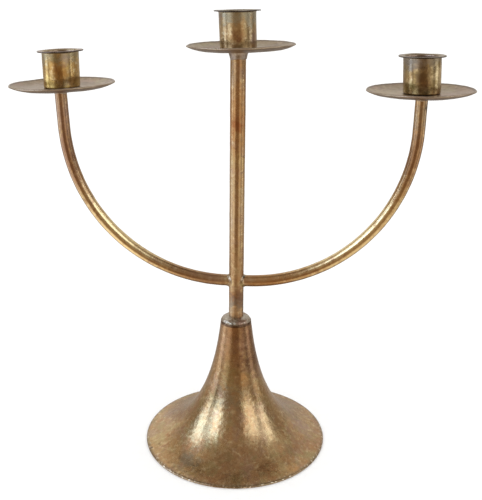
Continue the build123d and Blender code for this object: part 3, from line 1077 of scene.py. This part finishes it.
# ======== the studio ========
# Each soft light of the studio, as seen from the object: its azimuth from the front, positive to
# the right, where it starts, is full, is still full and ends; the same for its elevation; its
# colour. An azimuth beyond 181 is counted on round the back.
STUDIO = [
    ((-100, -90, -80, -72), (0, 12, 34, 48), (2.65, 3.1, 3.9)),
    ((-68, -60, -46, -30), (5, 17, 38, 49), (2.55, 3.15, 4.05)),
    ((24, 38, 62, 74), (6, 18, 36, 49), (1.8, 1.9, 1.95)),
    ((76, 82, 90, 99), (2, 15, 33, 46), (2.35, 2.45, 2.6)),
    ((-102, -92, -78, -70), (-45, -25, -6, 8), (0.98, 1.12, 1.32)),
    ((-66, -58, -42, -18), (-45, -25, -6, 10), (0.56, 0.56, 0.54)),
    ((20, 34, 54, 72), (-45, -25, -6, 10), (0.6, 0.55, 0.45)),
    ((76, 84, 95, 106), (-45, -25, -6, 8), (0.95, 0.95, 0.9)),
    ((-115, -96, -80, -60), (22, 44, 54, 66), (0.45, 0.45, 0.46)),
    ((70, 90, 112, 130), (22, 42, 54, 64), (0.26, 0.25, 0.23)),
    ((-150, -128, -108, -98), (-10, 4, 40, 55), (0.19, 0.17, 0.14)),
    ((98, 108, 130, 150), (-10, 4, 40, 55), (0.13, 0.12, 0.1)),
    ((-150, -110, -60, -15), (-70, -50, -14, 4), (0.56, 0.53, 0.49)),
    ((50, 80, 120, 150), (-70, -50, -14, 4), (0.28, 0.26, 0.23)),
    ((-120, -80, 80, 120), (-91, -90, -48, -26), (0.75, 0.67, 0.55)),
    ((118, 150, 210, 242), (-70, -50, -14, 4), (0.3, 0.3, 0.3)),
    ((118, 150, 210, 242), (-12, 8, 46, 72), (0.5, 0.51, 0.51)),
    ((-168, -155, -132, -115), (0, 12, 40, 62), (0.27, 0.28, 0.29)),
    ((-60, -30, 30, 60), (-60, -45, 0, 12), (0.13, 0.06, 0.01)),
    ((-60, -35, 0, 20), (-6, 10, 50, 65), (0.13, 0.11, 0.08)),
    ((-181, -180, 180, 181), (0, 15, 91, 92), (0.07, 0.07, 0.065)),
    ((-181, -180, 180, 181), (35, 60, 91, 92), (0.12, 0.11, 0.1)),
]
STUDIO_REST = (0.24, 0.175, 0.12)       # what is reflected from everywhere else
AROUND_THE_BACK = 181
PAPER_LIGHT = 1.2                       # the plain white surround, for all but reflections


def window(nodes, value, edges):
    """1 between the two middle edges, and 0 beyond the outer ones."""
    rise = nodes.ramp(value, edges[0], edges[1])
    fall = nodes.ramp(value, edges[2], edges[3], 1.0, 0.0)
    return nodes.times(rise, fall)


def make_world():
    """A plain white surround, with the soft lights of the studio in its reflections."""
    world = bpy.data.worlds.new("studio")
    bpy.context.scene.world = world
    world.use_nodes = True
    nodes = Nodes(world.node_tree, "Generated")
    x, y, z = nodes.split()
    turned = nodes.math("ARCTAN2", x, nodes.times(y, -1.0))
    azimuth = nodes.times(turned, 180 / np.pi)
    left = nodes.math("LESS_THAN", azimuth, 0.0)
    full_turn = nodes.plus(azimuth, nodes.times(left, 360.0))
    elevation = nodes.times(nodes.math("ARCSINE", z), 180 / np.pi)
    light = STUDIO_REST
    for azimuths, elevations, colour in STUDIO:
        seen_from = full_turn if azimuths[-1] > AROUND_THE_BACK else azimuth
        across = window(nodes, seen_from, azimuths)
        up = window(nodes, elevation, elevations)
        light = nodes.add_scaled(light, colour, nodes.times(across, up))
    rays = nodes.add("ShaderNodeLightPath")
    studio = nodes.add("ShaderNodeBackground")
    nodes.put(studio, Color=light)
    plain = nodes.add("ShaderNodeBackground")
    nodes.put(plain, Strength=PAPER_LIGHT, Color=(1, 1, 1, 1))
    mix = nodes.add("ShaderNodeMixShader")
    sources = (rays.outputs["Is Glossy Ray"], plain.outputs[0], studio.outputs[0])
    for socket, source in zip(mix.inputs, sources):
        nodes.feed(socket, source)
    output = nodes.add("ShaderNodeOutputWorld")
    nodes.put(output, Surface=mix.outputs[0])


def make_floor():
    """A plain pale floor, left out of the reflections."""
    bpy.ops.mesh.primitive_circle_add(vertices=96, radius=40, fill_type="NGON")
    floor = bpy.context.active_object
    floor.name = "floor"
    material, nodes, shader = new_material("pale_floor")
    grain = nodes.ramp(nodes.noise(6 * MM, 3), 0.3, 0.7)
    colour = nodes.mix(grain, (0.93, 0.93, 0.925), (0.95, 0.95, 0.945))
    nodes.put(shader, Base_Color=colour, Roughness=0.9, Specular_IOR_Level=0.0)
    floor.data.materials.append(material)
    floor.visible_glossy = False


def make_camera():
    """The camera, at its measured place, turn and lens."""
    yaw, pitch, roll = (np.radians(a) for a in (CAMERA_YAW, CAMERA_PITCH, CAMERA_ROLL))
    forward = np.array([np.sin(yaw) * np.cos(pitch), np.cos(yaw) * np.cos(pitch), -np.sin(pitch)])
    right = np.array([np.cos(yaw), -np.sin(yaw), 0])
    up = np.cross(right, forward)
    rolled_right = np.cos(roll) * right + np.sin(roll) * up
    rolled_up = np.cos(roll) * up - np.sin(roll) * right
    camera = bpy.data.objects.new("camera", bpy.data.cameras.new("camera"))
    bpy.context.scene.collection.objects.link(camera)
    camera.data.sensor_width = SENSOR_WIDTH
    camera.data.lens = CAMERA_LENS
    camera.data.clip_start = 10 * MM
    turned = Matrix(np.stack([rolled_right, rolled_up, -forward], axis=1).tolist()).to_4x4()
    camera.matrix_world = Matrix.Translation(CAMERA_PLACE) @ turned
    bpy.context.scene.camera = camera


# ======== the set ========
def keep(piece, material, node):
    """Finish a piece: its material, its body, and the CAD node that it stands for."""
    piece.data.materials.append(material)
    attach(piece, "root")
    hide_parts(node)


def make_pieces():
    """Every piece that stands for a CAD node."""
    seats = {name: Seat(name) for name in LIGHTS}
    stem_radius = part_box("stem")[1].y
    arm_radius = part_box("arm_left")[1].y
    rods = rod_brass()
    pans = pan_brass()
    solder = soft_solder()
    keep(make_foot(), foot_brass(), "base_trumpet")
    keep(make_stem(seats["center"]), rods, "stem")
    keep(make_neck_solder(stem_radius), solder, "neck_solder")
    for name in ("left", "right"):
        keep(make_arm(seats[name], stem_radius), rods, f"arm_{name}")
        fillet = make_arm_solder(name, stem_radius)
        keep(fillet, solder, f"crossing_solder_{name}")
    for name, seat in seats.items():
        keep(make_pan(seat), pans, f"drip_pan_{name}")
        cup_material = cup_brass(seat, *CUP_LOOKS[name])
        keep(make_cup(seat), cup_material, f"candle_cup_{name}")
        rod_radius = stem_radius if name == "center" else arm_radius
        keep(make_pan_solder(seat, rod_radius), solder, f"pan_solder_{name}")


def dress_cad_nodes():
    """Materials for the CAD's own screws and bush, which stay as they are."""
    looks = {"screw": small_brass("screw_brass"), "plug": small_brass("plug_brass")}
    for node, shown in NODES.items():
        for word, material in looks.items():
            if word in node:
                shown.data.materials.clear()
                shown.data.materials.append(material)


make_camera()
make_world()
make_floor()
make_pieces()
dress_cad_nodes()
bpy.context.scene.view_settings.view_transform = "Standard"
